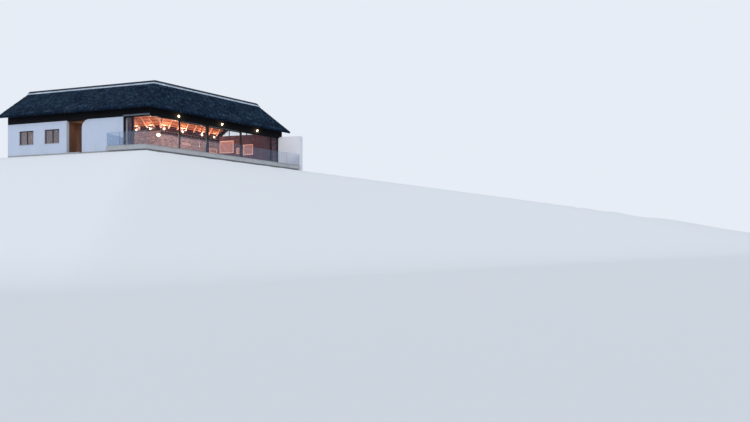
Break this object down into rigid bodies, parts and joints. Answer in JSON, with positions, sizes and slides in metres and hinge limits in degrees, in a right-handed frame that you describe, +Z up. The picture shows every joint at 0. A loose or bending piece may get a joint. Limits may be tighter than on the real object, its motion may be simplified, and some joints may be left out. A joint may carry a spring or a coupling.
{
  "type": "single-storey beach house with a bent thatched roof",
  "caption": "Bent-plan beach house: thatched roof over pole rafters, glazed sea front with sliding terrace doors, glass balustrade and a white fin wall.",
  "frame": {"origin": "centre of the footprint's bounding box, on the ground under the foundation", "axes": "+X along the left wing towards the bend and the fin wall, +Y inland, +Z up; the sea front of the left wing faces -Y"},
  "size_m": [23.961, 13.74, 7.1945],
  "materials": {
    "foundation_concrete": "matt",
    "floor_screed": "satin",
    "terrace_concrete": "matt",
    "white_plaster": "matt",
    "warm_wall": "matt",
    "porch_timber": "matt",
    "black_frame": "satin",
    "clear_glass": "gloss",
    "rail_glass": "gloss",
    "black_beam": "matt",
    "dark_timber": "matt",
    "track_metal": "satin",
    "pole_timber": "matt",
    "lath_timber": "matt",
    "thatch": "matt",
    "ridge_dark": "matt",
    "ridge_pale": "satin",
    "lamp_glow": "gloss",
    "panel_pale": "satin"
  },
  "bodies": {
    "house": {"foundation": "foundation_concrete", "floor_slab": "floor_screed", "terrace_slab": "terrace_concrete", "fin_wall": "white_plaster", "end_wall_right": "warm_wall", "end_wall_left": "white_plaster", "back_wall_left": "white_plaster", "back_wall_right": "white_plaster", "front_wall": "white_plaster", "porch_wall": "porch_timber", "inner_pier": "warm_wall", "window_frames": "black_frame", "gable_frames": "black_frame", "window_glass": "clear_glass", "eaves_beam_left": "black_beam", "eaves_beam_right": "black_beam", "wall_plates": "dark_timber", "posts": "black_frame", "glazing_frame_left": "black_frame", "glazing_frame_right": "black_frame", "glazing_glass_left": "clear_glass", "glazing_glass_right": "clear_glass", "door_track": "track_metal", "balustrade_channel": "track_metal", "balustrade_glass": "rail_glass", "ridge_board": "pole_timber", "hip_rafter": "pole_timber", "valley_rafter": "pole_timber", "rafters_left": "pole_timber", "rafters_right": "pole_timber", "laths_left": "lath_timber", "laths_right": "lath_timber", "thatch_left": "thatch", "thatch_right": "thatch", "thatch_hip": "thatch", "ridge_cap": "ridge_dark", "ridge_flashing": "ridge_pale", "pelmet": "ridge_pale", "outside_lamps": "lamp_glow", "room_lamps": "lamp_glow", "wall_panels": "panel_pale"},
    "door_one": {"door_one_frame": "black_frame", "door_one_glass": "clear_glass"},
    "door_two": {"door_two_frame": "black_frame", "door_two_glass": "clear_glass"}
  },
  "joints": [
    {"name": "door_one_slide", "type": "slide", "parent": "house", "child": "door_one", "axis": [-0.5, -0.866, 0], "range_m": [0, 2.4]},
    {"name": "door_two_slide", "type": "slide", "parent": "house", "child": "door_two", "axis": [0.5, 0.866, 0], "range_m": [0, 3.3]}
  ]
}
